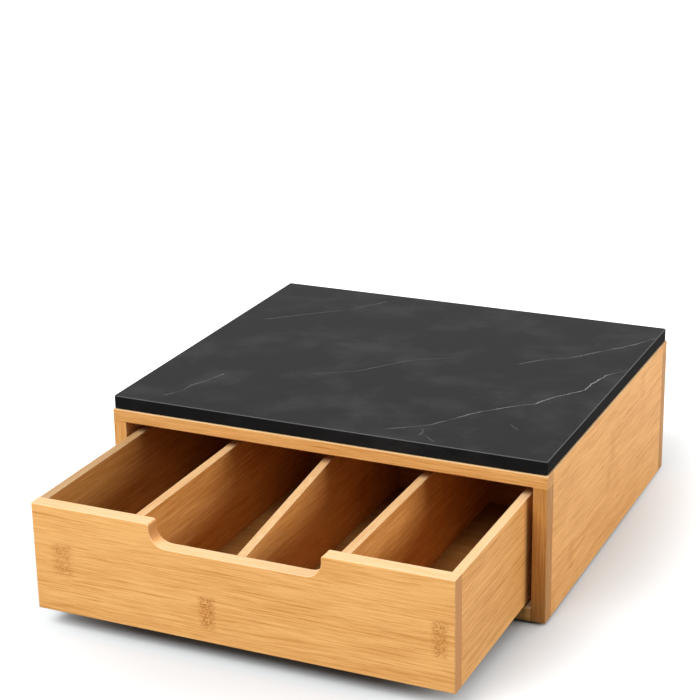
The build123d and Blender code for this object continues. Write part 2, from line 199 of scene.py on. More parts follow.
class StudioSettings(bpy.types.PropertyGroup):
    """Brightness and colour of the studio."""

    floor: colour_property("Floor", "Colour of the floor", (0.500, 0.512, 0.522))
    bounce: colour_property(
        "Bounce", "Colour of the light that the floor throws back", (0.20, 0.21, 0.22)
    )
    lift: colour_property(
        "Lift", "Light added where the floor is seen near the object", (0.250, 0.256, 0.260)
    )
    shade_reach: FloatProperty(
        name="Shade reach",
        description="How far off a piece still keeps the added light away from the floor under it",
        default=0.12,
        unit="LENGTH",
    )
    clear_reach: FloatProperty(
        name="Clear reach",
        description="Where the floor has faded to plain white, in half widths and depths of the object",
        default=2.2,
    )
    sky: FloatProperty(name="Sky", description="Strength of the even light all round", default=0.20)
    key_power: FloatProperty(
        name="Key", description="Power of the big lamp at the front left", default=118.0, unit="POWER"
    )
    top_power: FloatProperty(
        name="Top", description="Power of the lamp overhead", default=2.0, unit="POWER"
    )
    fill_power: FloatProperty(
        name="Fill", description="Power of the lamp on the right", default=26.0, unit="POWER"
    )
    fill_tint: colour_property("Fill tint", "Colour of the lamp on the right", (1.0, 0.935, 0.870))
    back_power: FloatProperty(
        name="Back", description="Power of the lamp behind on the right", default=18.0, unit="POWER"
    )


# ---------------------------------------------------------------------------
# Node helpers
# ---------------------------------------------------------------------------


class Graph:
    """Adds nodes to one node tree. Each input is fed by a socket or by a plain value."""

    def __init__(self, tree):
        self.tree = tree

    def node(self, kind, inputs=None, **settings):
        """A new node with its settings and inputs in place."""
        made = self.tree.nodes.new(kind)
        for name, value in settings.items():
            setattr(made, name, value)
        for name, value in (inputs or {}).items():
            self.feed(made.inputs[name], value)
        return made

    def feed(self, socket, value):
        """Links a socket to an input, or writes a plain value on it."""
        if isinstance(value, bpy.types.NodeSocket):
            self.tree.links.new(value, socket)
        elif socket.type == "RGBA" and len(value) == 3:
            socket.default_value = (*value, 1.0)
        else:
            socket.default_value = value

    def math(self, operation, first, second=0.0, third=0.0, clamp=False):
        """One sum on two or three numbers."""
        made = self.node("ShaderNodeMath", {0: first, 1: second, 2: third}, operation=operation)
        made.use_clamp = clamp
        return made.outputs[0]

    def ramp(self, value, low, high, low_out=0.0, high_out=1.0):
        """A value smoothed from low to high into low_out to high_out."""
        made = self.node(
            "ShaderNodeMapRange",
            {"Value": value, "From Min": low, "From Max": high, "To Min": low_out, "To Max": high_out},
            interpolation_type="SMOOTHSTEP",
        )
        return made.outputs["Result"]

    def mix(self, factor, first, second, blend="MIX"):
        """Two colours mixed by a factor."""
        made = self.node("ShaderNodeMix", data_type="RGBA", blend_type=blend)
        self.feed(made.inputs[0], factor)
        self.feed(made.inputs[6], first)
        self.feed(made.inputs[7], second)
        return made.outputs[2]

    def scaled(self, vector, factors):
        """A vector with each part multiplied."""
        return self.vectors("MULTIPLY", vector, factors)

    def vectors(self, operation, first, second):
        """One sum on two vectors."""
        made = self.node("ShaderNodeVectorMath", {0: first, 1: second}, operation=operation)
        return made.outputs[0]

    def centred(self, value):
        """A value from 0 to 1 moved to lie about 0."""
        return self.math("SUBTRACT", value, 0.5)

    def noise(self, vector, scale, detail=2.0, roughness=0.5):
        """Smooth noise from 0 to 1, with its own scale for each part of the vector."""
        made = self.node(
            "ShaderNodeTexNoise",
            {
                "Vector": self.scaled(vector, scale),
                "Scale": 1.0,
                "Detail": detail,
                "Roughness": roughness,
            },
        )
        return made.outputs["Fac"]

    def random(self, *parts):
        """A random number that is fixed for each set of up to three whole numbers."""
        return self.node("ShaderNodeTexWhiteNoise", {"Vector": self.join(*parts)}).outputs["Value"]

    def split(self, vector):
        """The three parts of a vector."""
        return self.node("ShaderNodeSeparateXYZ", {0: vector}).outputs

    def join(self, x=0.0, y=0.0, z=0.0):
        """A vector from its three parts."""
        return self.node("ShaderNodeCombineXYZ", {0: x, 1: y, 2: z}).outputs[0]


def new_group(name, inputs, outputs):
    """An empty node group with named sockets: (name, kind)."""
    kinds = {"number": "NodeSocketFloat", "vector": "NodeSocketVector", "colour": "NodeSocketColor"}
    tree = bpy.data.node_groups.new(name, "ShaderNodeTree")
    for direction, sockets in (("INPUT", inputs), ("OUTPUT", outputs)):
        for socket_name, kind in sockets:
            tree.interface.new_socket(name=socket_name, in_out=direction, socket_type=kinds[kind])
    graph = Graph(tree)
    source = graph.node("NodeGroupInput").outputs
    sink = graph.node("NodeGroupOutput").inputs
    return graph, source, sink


def new_material(name):
    """A material with its Principled shader, ready to be fed."""
    material = bpy.data.materials.new(name)
    material.use_nodes = True
    shader = material.node_tree.nodes["Principled BSDF"]
    return material, Graph(material.node_tree), shader


def use_group(graph, name, inputs):
    """One of the shared groups placed in a tree."""
    made = graph.node("ShaderNodeGroup")
    made.node_tree = bpy.data.node_groups[name]
    for socket_name, value in inputs.items():
        graph.feed(made.inputs[socket_name], value)
    return made.outputs


def dress(node_name, material):
    """Gives a CAD piece its material in every slot."""
    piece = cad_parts[node_name]
    if not piece.data.materials:
        piece.data.materials.append(material)
    for slot in piece.material_slots:
        slot.material = material


# ---------------------------------------------------------------------------
# Shared effects
# ---------------------------------------------------------------------------


def build_eased_edge_group():
    """Mask of eased edges: where the surface turns from the wide face, along Z, to a narrow one."""
    graph, source, sink = new_group("eased_edge", [("Normal", "vector")], [("Mask", "number")])
    through = graph.math("ABSOLUTE", graph.split(source["Normal"])[2])
    leaves_side = graph.ramp(through, 0.05, 0.35)
    nears_face = graph.ramp(through, 0.85, 0.985, 1.0, 0.0)
    graph.feed(sink["Mask"], graph.math("MULTIPLY", leaves_side, nears_face))


def build_knuckle_group():
    """Patch where a bamboo stem had a knuckle: short dark dashes in a soft-edged rectangle with
    ragged ends. The offset is counted in millimetres from the patch's centre."""
    graph, source, sink = new_group(
        "knuckle",
        [("Offset", "vector"), ("Half Length", "number"), ("Half Height", "number")],
        [("Shade", "number"), ("Speckle", "number")],
    )
    along, across, _ = graph.split(source["Offset"])
    ragged = graph.math("MULTIPLY", graph.centred(graph.noise(source["Offset"], RAGGED_SCALE)), RAGGED)
    reach_along = graph.math("ADD", graph.math("ABSOLUTE", along), ragged)
    share_along = graph.math("DIVIDE", reach_along, source["Half Length"])
    share_across = graph.math("DIVIDE", graph.math("ABSOLUTE", across), source["Half Height"])
    inside_along = graph.ramp(share_along, 0.35, 1.25, 1.0, 0.0)
    inside_across = graph.ramp(share_across, 0.80, 1.05, 1.0, 0.0)
    inside = graph.math("MULTIPLY", inside_along, inside_across)
    dashes = graph.noise(source["Offset"], DASH_SCALE, detail=3.0, roughness=0.75)
    graph.feed(sink["Shade"], inside)
    graph.feed(sink["Speckle"], graph.math("MULTIPLY", graph.ramp(dashes, 0.49, 0.56), inside))


def build_bamboo_group():
    """Flat-pressed bamboo in board axes, in millimetres: X along the grain, Y across the strips,
    Z through the board.

    Each strip has its own tone. Long fibres are noise stretched along X and bent a little by a
    slower noise. Knuckles repeat along a strip from a start of its own. Narrow faces are paler,
    partly as the strips' edge grain and partly as a painted highlight for the top faces; end faces
    are darker with dots; eased edges are palest, partly as sanded wood and partly as a painted
    highlight; and the two ends can show a glue line. Roughness is put out as what it adds to the
    lacquer's own."""
    graph, source, sink = new_group(
        "bamboo",
        [
            ("Vector", "vector"),
            ("Normal", "vector"),
            ("Low End", "number"),
            ("High End", "number"),
            ("Strip Width", "number"),
            ("Strip Spread", "number"),
            ("Tone", "number"),
            ("Knuckle Spacing", "number"),
            ("Knuckle Length", "number"),
            ("Knuckle Strength", "number"),
            ("Joint Line", "number"),
            ("Edge Paleness", "number"),
            ("End Tint", "number"),
            ("Eased Paleness", "number"),
            ("Face", "colour"),
            ("Deep", "colour"),
            ("Edge", "colour"),
            ("End", "colour"),
            ("Mark", "colour"),
        ],
        [("Color", "colour"), ("Roughness", "number"), ("Height", "number")],
    )
    vector = source["Vector"]
    along, across, through = graph.split(vector)
    normal_along, normal_across, _ = graph.split(source["Normal"])

    slow = graph.noise(vector, BEND_SCALE, detail=1.0)
    bent = graph.join(along, graph.math("MULTIPLY_ADD", graph.centred(slow), BEND, across), through)
    fibres = graph.noise(bent, FIBRE_SCALE, detail=4.0, roughness=0.75)
    streaks = graph.noise(bent, STREAK_SCALE, detail=3.0)
    bands = graph.noise(vector, BAND_SCALE, detail=1.0)
    hairs = graph.noise(bent, HAIR_SCALE, detail=2.0, roughness=0.6)
    dark_hairs = graph.ramp(hairs, 0.58, 0.66)
    pale_hairs = graph.ramp(hairs, 0.34, 0.43, 1.0, 0.0)

    strip = graph.math("FLOOR", graph.math("DIVIDE", across, source["Strip Width"]))
    strip_tone = graph.centred(graph.random(strip, *STRIP_TONE_SEED))
    strip_shift = graph.math("MULTIPLY", strip_tone, source["Strip Spread"])
    tone = graph.math("MULTIPLY_ADD", graph.centred(fibres), FIBRE_TONE, MIDDLE_TONE)
    tone = graph.math("MULTIPLY_ADD", graph.centred(streaks), STREAK_TONE, tone)
    tone = graph.math("MULTIPLY_ADD", pale_hairs, PALE_HAIR_TONE, tone)
    tone = graph.math("MULTIPLY_ADD", graph.centred(bands), BAND_TONE, tone)
    tone = graph.math("MULTIPLY_ADD", strip_shift, 2.0, graph.math("ADD", tone, source["Tone"]))
    tone = graph.math("MULTIPLY_ADD", dark_hairs, DARK_HAIR_TONE, tone, clamp=True)
    colour = graph.mix(tone, source["Deep"], source["Face"])

    # Knuckles: the distance along the strip to the nearest one, and across to the strip's middle.
    start = graph.random(strip, *KNUCKLE_START_SEED)
    turns = graph.math("ADD", graph.math("DIVIDE", along, source["Knuckle Spacing"]), start)
    turn_share = graph.centred(graph.math("FRACT", turns))
    to_knuckle = graph.math("MULTIPLY", turn_share, source["Knuckle Spacing"])
    strip_place = graph.math("FRACT", graph.math("DIVIDE", across, source["Strip Width"]))
    to_middle = graph.math("MULTIPLY", graph.centred(strip_place), source["Strip Width"])
    knuckle = use_group(
        graph,
        "knuckle",
        {
            "Offset": graph.join(to_knuckle, to_middle, through),
            "Half Length": graph.math("MULTIPLY", source["Knuckle Length"], 0.5),
            "Half Height": graph.math("MULTIPLY", source["Strip Width"], 0.49),
        },
    )
    speckle = graph.math("MULTIPLY", knuckle["Speckle"], source["Knuckle Strength"])
    shade = graph.math("MULTIPLY", knuckle["Shade"], source["Knuckle Strength"])
    colour = graph.mix(graph.math("MULTIPLY", shade, 0.10), colour, source["Mark"])
    colour = graph.mix(graph.math("MULTIPLY", speckle, 0.42), colour, source["Mark"])

    # Narrow faces, where the grain shows less and which are paler, partly as a painted highlight for
    # the top faces; and end faces with the dots of cut fibres.
    is_edge = graph.ramp(graph.math("ABSOLUTE", normal_across), *FACING)
    is_edge = graph.math("MULTIPLY", is_edge, source["Edge Paleness"])
    is_end = graph.ramp(graph.math("ABSOLUTE", normal_along), *FACING)
    is_end = graph.math("MULTIPLY", is_end, source["End Tint"])
    edge_colour = graph.mix(graph.math("MULTIPLY", tone, 0.75), colour, source["Edge"])
    colour = graph.mix(is_edge, colour, graph.mix(0.65, source["Edge"], edge_colour))
    dots = graph.ramp(graph.noise(vector, END_DOT_SCALE, detail=1.0), 0.5, 0.68)
    end_colour = graph.mix(graph.math("MULTIPLY", dots, 0.45), source["End"], source["Mark"])
    colour = graph.mix(is_end, colour, end_colour)

    # Glue lines at the two ends along the grain.
    to_low = graph.math("SUBTRACT", along, source["Low End"])
    to_high = graph.math("SUBTRACT", source["High End"], along)
    to_end = graph.math("MINIMUM", to_low, to_high)
    line = graph.math("MULTIPLY", graph.ramp(to_end, 0.18, 0.55, 1.0, 0.0), source["Joint Line"])
    colour = graph.mix(graph.math("MULTIPLY", line, 0.55), colour, source["Mark"])

    # Eased edges take the pale edge colour: partly the sanded wood, partly a painted highlight.
    eased = use_group(graph, "eased_edge", {"Normal": source["Normal"]})["Mask"]
    paleness = graph.math("MULTIPLY", eased, source["Eased Paleness"])
    graph.feed(sink["Color"], graph.mix(paleness, colour, source["Edge"]))

    roughness = graph.math("MULTIPLY", graph.centred(fibres), -0.22)
    graph.feed(sink["Roughness"], graph.math("MULTIPLY_ADD", speckle, 0.12, roughness))
    height = graph.math("MULTIPLY_ADD", dark_hairs, -0.5, fibres)
    height = graph.math("MULTIPLY_ADD", speckle, -0.6, height)
    graph.feed(sink["Height"], graph.math("MULTIPLY_ADD", line, -1.0, height))


def shared_group(name, build):
    """Builds a shared node group the first time that it is asked for."""
    if name not in bpy.data.node_groups:
        build()


def need_bamboo_groups():
    """The groups that every bamboo board uses."""
    shared_group("eased_edge", build_eased_edge_group)
    shared_group("knuckle", build_knuckle_group)
    shared_group("bamboo", build_bamboo_group)


# ---------------------------------------------------------------------------
# Bamboo
# ---------------------------------------------------------------------------


def in_board_axes(graph, vector, axes):
    """A vector with its parts put in the board's order: along, across, through."""
    parts = graph.split(vector)
    order = ["XYZ".index(axis) for axis in axes]
    return graph.join(*(parts[place] for place in order))


def bamboo_material(
    node_name,
    axes,
    number,
    tone=0.0,
    joint_line=1.0,
    knuckles=1.0,
    edge_paleness=1.0,
    end_tint=1.0,
    strip_width=None,
    shade=1.0,
    marks=(),
):
    """Lacquered bamboo for one board. The board's number moves the pattern, so that no two boards
    are alike. The painted shade darkens all its colours, as shade falling on the board would.
    Marks are knuckles at chosen places on the board's wide face: (x, z, half length, half height,
    strength), in millimetres."""
    need_bamboo_groups()
    settings = bpy.context.scene.pod_bamboo
    material, graph, shader = new_material("bamboo_" + node_name)
    coordinates = graph.node("ShaderNodeTexCoord").outputs
    shift = tuple(number * step for step in PATTERN_STEP)
    low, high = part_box(node_name)
    grain = "XYZ".index(axes[0])
    in_mm = graph.scaled(coordinates["Object"], (METRES_TO_MM,) * 3)
    board = in_board_axes(graph, in_mm, axes)
    upward = graph.split(coordinates["Normal"])[2]
    made = use_group(
        graph,
        "bamboo",
        {
            "Vector": graph.vectors("ADD", board, shift),
            "Normal": in_board_axes(graph, coordinates["Normal"], axes),
            "Low End": low[grain] * METRES_TO_MM + shift[0],
            "High End": high[grain] * METRES_TO_MM + shift[0],
            "Strip Width": (strip_width or settings.strip_width) * METRES_TO_MM,
            "Strip Spread": settings.strip_spread,
            "Tone": tone,
            "Knuckle Spacing": settings.knuckle_spacing * METRES_TO_MM,
            "Knuckle Length": settings.knuckle_length * METRES_TO_MM,
            "Knuckle Strength": knuckles,
            "Joint Line": joint_line,
            "Edge Paleness": edge_paleness,
            "End Tint": end_tint,
            # Eased edges that face up get more of it: a painted highlight along the top edges.
            "Eased Paleness": graph.ramp(upward, *FACING_UP, 0.22, 0.65),
            # All colours are darkened by the painted shade.
            **{
                colour_name.capitalize(): [part * shade for part in getattr(settings, colour_name)]
                for colour_name in ("face", "deep", "edge", "end", "mark")
            },
        },
    )
    colour = made["Color"]
    height = made["Height"]
    for x, z, half_length, half_height, strength in marks:
        offset = graph.vectors("SUBTRACT", board, (x, z, 0.0))
        knuckle = use_group(
            graph,
            "knuckle",
            {"Offset": offset, "Half Length": half_length, "Half Height": half_height},
        )
        shaded = graph.math("MULTIPLY", knuckle["Shade"], 0.30 * strength)
        colour = graph.mix(shaded, colour, settings.deep)
        speckled = graph.math("MULTIPLY", knuckle["Speckle"], strength)
        colour = graph.mix(speckled, colour, settings.mark)
        height = graph.math("MULTIPLY_ADD", knuckle["Speckle"], -0.6, height)
    graph.feed(shader.inputs["Base Color"], colour)
    graph.feed(shader.inputs["Roughness"], graph.math("ADD", made["Roughness"], settings.roughness))
    bump = graph.node("ShaderNodeBump", {"Strength": 0.35, "Distance": 0.00012, "Height": height})
    graph.feed(shader.inputs["Normal"], bump.outputs["Normal"])
    shader.inputs["Specular IOR Level"].default_value = BAMBOO_SPECULAR
    return material


def dress_board(node_name, axes, number, **finish):
    """Makes a board's own bamboo and gives it to the board."""
    dress(node_name, bamboo_material(node_name, axes, number, **finish))


class POD_OT_case_boards(bpy.types.Operator):
    """Bamboo for the deck, floor, sides and back panel of the case"""

    bl_idname = "pod.case_boards"
    bl_label = "Case Boards"

    def execute(self, context):
        dress_board("case_left_side", ALONG_DEPTH, 1, knuckles=0.6)
        dress_board("case_right_side", ALONG_DEPTH, 2, knuckles=0.6)
        # The lower tone and the shade of the top and bottom panels, and the slightly lower tone of the
        # back panel, are painted shade for the inside of the case.
        dress_board("case_top_panel", FLAT_ACROSS, 3, tone=-0.3, shade=0.45)
        dress_board("case_bottom_panel", FLAT_ACROSS, 4, tone=-0.3, shade=0.45)
        dress_board("case_back_panel", ACROSS_FRONT, 5, tone=-0.1)
        return {"FINISHED"}


class POD_OT_case_frames(bpy.types.Operator):
    """Bamboo for the rails and stiles at the front and back of the case"""

    bl_idname = "pod.case_frames"
    bl_label = "Case Frames"

    narrow_strip = 0.0042  # width of the upright strips that show on a stile

    def execute(self, context):
        for number, face in enumerate(("front", "back")):
            first = 10 + 4 * number
            # The lower tone and the shade of the top rails and the stiles are painted shade, deepest on
            # the right stile, where it stands in for the open drawer's shadow.
            dress_board(
                f"{face}_top_rail",
                ACROSS_FRONT,
                first,
                tone=-0.15,
                shade=0.87,
                joint_line=0.0,
                knuckles=0.0,
                end_tint=0.35,
            )
            dress_board(f"{face}_bottom_rail", ACROSS_FRONT, first + 1, knuckles=0.0)
            for place, side in enumerate(("left", "right")):
                dress_board(
                    f"{face}_{side}_stile",
                    UPRIGHT,
                    first + 2 + place,
                    tone=-0.2 - 0.25 * place,
                    knuckles=0.0,
                    edge_paleness=0.15,
                    shade=0.9 - 0.2 * place,
                    strip_width=self.narrow_strip,
                )
        return {"FINISHED"}


class POD_OT_drawer_front(bpy.types.Operator):
    """Bamboo for the drawer front, with its three knuckles where they are on the real board"""

    bl_idname = "pod.drawer_front"
    bl_label = "Drawer Front"

    # Where the knuckles are on the board's face: (x, z, half length, half height) in millimetres,
    # and how strongly each shows.
    knuckle_marks = (
        (-136.5, 57.2, 9.0, 12.5, 0.55),
        (-22.1, 38.0, 6.5, 13.0, 0.85),
        (149.3, 52.9, 5.8, 14.0, 0.75),
    )

    def execute(self, context):
        dress_board(
            "drawer_front", ACROSS_FRONT, 20, joint_line=0.0, knuckles=0.0, marks=self.knuckle_marks
        )
        return {"FINISHED"}


class POD_OT_drawer_boards(bpy.types.Operator):
    """Bamboo for the drawer's sides, back and bottom, and the strips that it slides on"""

    bl_idname = "pod.drawer_boards"
    bl_label = "Drawer Boards"

    def execute(self, context):
        # The lower tone and the shade of the left side, back and bottom are painted shade for the
        # inside of the drawer.
        dress_board("drawer_left_side", ALONG_DEPTH, 21, tone=-0.4, knuckles=0.0, shade=0.66)
        dress_board("drawer_right_side", ALONG_DEPTH, 22, knuckles=0.0)
        dress_board("drawer_back", ACROSS_FRONT, 23, tone=-0.5, joint_line=0.0, shade=0.55)
        dress_board("drawer_bottom", FLAT_ACROSS, 24, tone=-0.5, joint_line=0.0, shade=0.5)
        dress_board("left_glide_strip", FLAT_DEEP, 25)
        dress_board("right_glide_strip", FLAT_DEEP, 26)
        return {"FINISHED"}


class POD_OT_dividers(bpy.types.Operator):
    """Bamboo for the dividers between the compartments"""

    bl_idname = "pod.dividers"
    bl_label = "Dividers"

    def execute(self, context):
        prefix = "divider_"
        dividers = sorted(
            name
            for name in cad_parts
            if name.startswith(prefix) and name.removeprefix(prefix).isdigit()
        )
        if not dividers:
            raise RuntimeError("the frame has no dividers")
        for place, name in enumerate(dividers):
            # Their lower tone and shade are painted shade for the inside of the drawer.
            dress_board(name, ALONG_DEPTH, 30 + place, tone=-0.35, shade=0.92)
        return {"FINISHED"}


# ---------------------------------------------------------------------------
# Stone
# ---------------------------------------------------------------------------


def camera_axes():
    """The camera's own axes: to the right and upwards in its picture, and back from what it sees."""
    back = Vector(
        (
            math.sin(CAMERA_YAW) * math.cos(CAMERA_PITCH),
            -math.cos(CAMERA_YAW) * math.cos(CAMERA_PITCH),
            math.sin(CAMERA_PITCH),
        )
    )
    level = Vector((math.cos(CAMERA_YAW), math.sin(CAMERA_YAW), 0.0))
    up = back.cross(level)
    right = math.cos(CAMERA_ROLL) * level + math.sin(CAMERA_ROLL) * up
    upright = math.cos(CAMERA_ROLL) * up - math.sin(CAMERA_ROLL) * level
    return right, upright, back


def place_on_top(pixel):
    """The place on the stone's top, which is the top of the whole object, that a pixel of the
    photograph shows: (y, x) in whole millimetres, which is as well as it can be read."""
    right, upright, back = camera_axes()
    half = PHOTO_SIDE / 2.0
    x, y = pixel
    focal_length = PHOTO_SIDE * CAMERA_LENS / CAMERA_SENSOR
    ray = right * (x - half) + upright * (half - y) - back * focal_length
    _, high = cad_bounds
    place = Vector(CAMERA_PLACE) + ray * ((high[2] - CAMERA_PLACE[2]) / ray.z)
    return round(place.y * METRES_TO_MM), round(place.x * METRES_TO_MM)


def vein_mask(graph, along, across, points, width, wobble):
    """Mask of one vein on the top: a line whose distance across is a curve of the distance along.

    points are (along, across) in millimetres. Straight lines join them, and the wobble makes the
    vein wander. The mask falls off from a quarter of the width to the width, on both sides."""
    start, end = points[0][0], points[-1][0]
    low = min(value for _, value in points)
    high = max(value for _, value in points)
    curve = graph.node("ShaderNodeFloatCurve")
    line = curve.mapping.curves[0]
    spread = max(high - low, 1.0)
    shares = [((place - start) / (end - start), (value - low) / spread) for place, value in points]
    line.points[0].location = shares[0]
    line.points[1].location = shares[-1]
    for share in shares[1:-1]:
        line.points.new(*share)
    for point in line.points:
        point.handle_type = "VECTOR"
    curve.mapping.update()
    position = graph.math("DIVIDE", graph.math("SUBTRACT", along, start), end - start)
    graph.feed(curve.inputs["Value"], position)
    path = graph.math("MULTIPLY_ADD", curve.outputs["Value"], spread, low)
    path = graph.math("ADD", path, wobble)
    distance = graph.math("ABSOLUTE", graph.math("SUBTRACT", across, path))
    mask = graph.ramp(distance, width * 0.25, width, 1.0, 0.0)
    begun = graph.ramp(position, 0.0, 0.04)
    not_ended = graph.ramp(position, 0.96, 1.0, 1.0, 0.0)
    return graph.math("MULTIPLY", mask, graph.math("MULTIPLY", begun, not_ended))


class POD_OT_stone_top(bpy.types.Operator):
    """Black honed stone with faint clouds and thin pale veins for the top"""

    bl_idname = "pod.stone_top"
    bl_label = "Stone Top"

    # Veins that show in the photograph: the pixels that each runs through, read and counted
    # from the picture's top left corner, and its strength.
    seen_veins = (
        (((380, 429.5), (430, 424.7), (461.6, 416.3), (482.6, 411.3), (519.5, 405.8), (535.3, 403.7),
          (551, 397.9), (566, 394.5), (586, 390), (591, 383.8), (606, 375.5), (615, 373),
          (629, 370)), 1.0),
        (((514.2, 364.7), (548.4, 359), (566, 358.3), (589, 353.8), (622.5, 347.5), (640, 343.3),
          (657, 338)), 0.85),
        (((163, 395.3), (181.6, 390), (192, 384.7), (204, 381.3), (226.3, 373.4)), 0.50),
        (((419.5, 435), (423, 432), (422, 428.7)), 0.45),
        (((434, 441.8), (423.4, 435.3)), 0.35),
        (((518, 430), (509, 423.4)), 0.30),
    )
    # Veins where the photograph doesn't show the stone, chosen freely: the places (y, x) in
    # millimetres that each runs through, and its strength.
    hidden_veins = (
        (((120, -150), (150, -118), (171, -92), (205, -70)), 0.50),
        (((10, -60), (34, -22), (70, 4), (93, 40)), 0.35),
    )

    def execute(self, context):
        shared_group("eased_edge", build_eased_edge_group)
        settings = context.scene.pod_stone
        material, graph, shader = new_material("stone_black")
        coordinates = graph.node("ShaderNodeTexCoord").outputs
        position = graph.scaled(coordinates["Object"], (METRES_TO_MM,) * 3)
        across, along, _ = graph.split(position)
        clouds = graph.noise(position, CLOUD_SCALE, detail=6.0, roughness=0.62)
        colour = graph.mix(graph.ramp(clouds, 0.42, 0.72), settings.base, settings.cloud)
        grains = graph.noise(position, GRAIN_SCALE)
        colour = graph.mix(graph.ramp(grains, 0.60, 0.80, 0.0, 0.5), colour, settings.cloud)

        wander = graph.noise(position, WANDER_SCALE, detail=5.0, roughness=0.82)
        wobble = graph.math("MULTIPLY", graph.centred(wander), WANDER)
        breaks = graph.ramp(graph.noise(position, BREAK_SCALE, detail=3.0), 0.34, 0.60, 0.25, 1.0)
        width = settings.vein_width * METRES_TO_MM
        veins = [
            ([place_on_top(pixel) for pixel in pixels], strength)
            for pixels, strength in self.seen_veins
        ]
        for points, strength in (*veins, *self.hidden_veins):
            mask = vein_mask(graph, along, across, points, width, wobble)
            shown = graph.math("MULTIPLY", graph.math("MULTIPLY", mask, strength), breaks)
            colour = graph.mix(shown, colour, settings.vein)

        # The sides are darker than the top, by up to half: painted shade.
        upward = graph.math("ABSOLUTE", graph.split(coordinates["Normal"])[2])
        colour = graph.mix(graph.ramp(upward, *FACING_UP, 0.50, 0.0), colour, (0.0, 0.0, 0.0))
        # Eased edges take the pale edge colour: a painted highlight.
        eased = use_group(graph, "eased_edge", {"Normal": coordinates["Normal"]})["Mask"]
        colour = graph.mix(graph.math("MULTIPLY", eased, 0.5), colour, settings.edge)
        graph.feed(shader.inputs["Base Color"], colour)
        roughness = graph.math("MULTIPLY_ADD", graph.centred(clouds), 0.12, settings.roughness)
        side_roughness = graph.ramp(upward, *FACING_UP, 0.35, 0.0)
        graph.feed(shader.inputs["Roughness"], graph.math("ADD", roughness, side_roughness))
        bump = graph.node("ShaderNodeBump", {"Strength": 0.12, "Distance": 0.00005, "Height": grains})
        graph.feed(shader.inputs["Normal"], bump.outputs["Normal"])
        shader.inputs["Specular IOR Level"].default_value = STONE_SPECULAR
        dress("marble_top", material)
        return {"FINISHED"}


# ---------------------------------------------------------------------------
# Feet, pads and dowels
# ---------------------------------------------------------------------------


def speckled_material(name, colour, roughness, grain_per_mm, spread, bump_depth):
    """A plain moulded or turned finish: one colour with fine speckle, and the speckle as bump."""
    material, graph, shader = new_material(name)
    position = graph.node("ShaderNodeTexCoord").outputs["Object"]
    scale = grain_per_mm * METRES_TO_MM
    speckle = graph.noise(position, (scale, scale, scale), detail=3.0, roughness=0.6)
    darker = tuple(part * (1.0 - spread) for part in colour)
    graph.feed(shader.inputs["Base Color"], graph.mix(speckle, darker, tuple(colour)))
    varied = graph.math("MULTIPLY_ADD", speckle, 0.15, roughness - 0.07)
    graph.feed(shader.inputs["Roughness"], varied)
    bump = graph.node("ShaderNodeBump", {"Strength": 0.3, "Distance": bump_depth, "Height": speckle})
    graph.feed(shader.inputs["Normal"], bump.outputs["Normal"])
    return material


class POD_OT_feet(bpy.types.Operator):
    """Matte black rubber for the four feet"""

    bl_idname = "pod.feet"
    bl_label = "Feet"

    def execute(self, context):
        rubber = speckled_material(
            "rubber_feet",
            context.scene.pod_trim.rubber,
            roughness=0.75,
            grain_per_mm=1.6,
            spread=0.35,
            bump_depth=0.0001,
        )
        for row in ("front", "back"):
            for side in ("left", "right"):
                dress(f"foot_{row}_{side}", rubber)
        return {"FINISHED"}


class POD_OT_pads(bpy.types.Operator):
    """Grey soft plastic for the pads between deck and stone"""

    bl_idname = "pod.pads"
    bl_label = "Slab Pads"

    def execute(self, context):
        plastic = speckled_material(
            "pad_plastic",
            context.scene.pod_trim.pad,
            roughness=0.6,
            grain_per_mm=1.1,
            spread=0.2,
            bump_depth=0.00005,
        )
        dress("slab_pads", plastic)
        return {"FINISHED"}


class POD_OT_dowels(bpy.types.Operator):
    """Turned beech for the dowels of every joint"""

    bl_idname = "pod.dowels"
    bl_label = "Dowels"

    def execute(self, context):
        beech = speckled_material(
            "beech_dowels",
            context.scene.pod_trim.dowel,
            roughness=0.6,
            grain_per_mm=0.9,
            spread=0.25,
            bump_depth=0.0001,
        )
        for name in ("case_dowels", "frame_dowels", "drawer_dowels", "divider_dowels"):
            dress(name, beech)
        return {"FINISHED"}


# ---------------------------------------------------------------------------
# Studio
# ---------------------------------------------------------------------------


def seen_rays(graph):
    """1 for the rays that show a surface or the sky: camera, glossy and transmission rays."""
    rays = graph.node("ShaderNodeLightPath").outputs
    glossy_or_glass = graph.math("MAXIMUM", rays["Is Glossy Ray"], rays["Is Transmission Ray"])
    return graph.math("MAXIMUM", rays["Is Camera Ray"], glossy_or_glass)


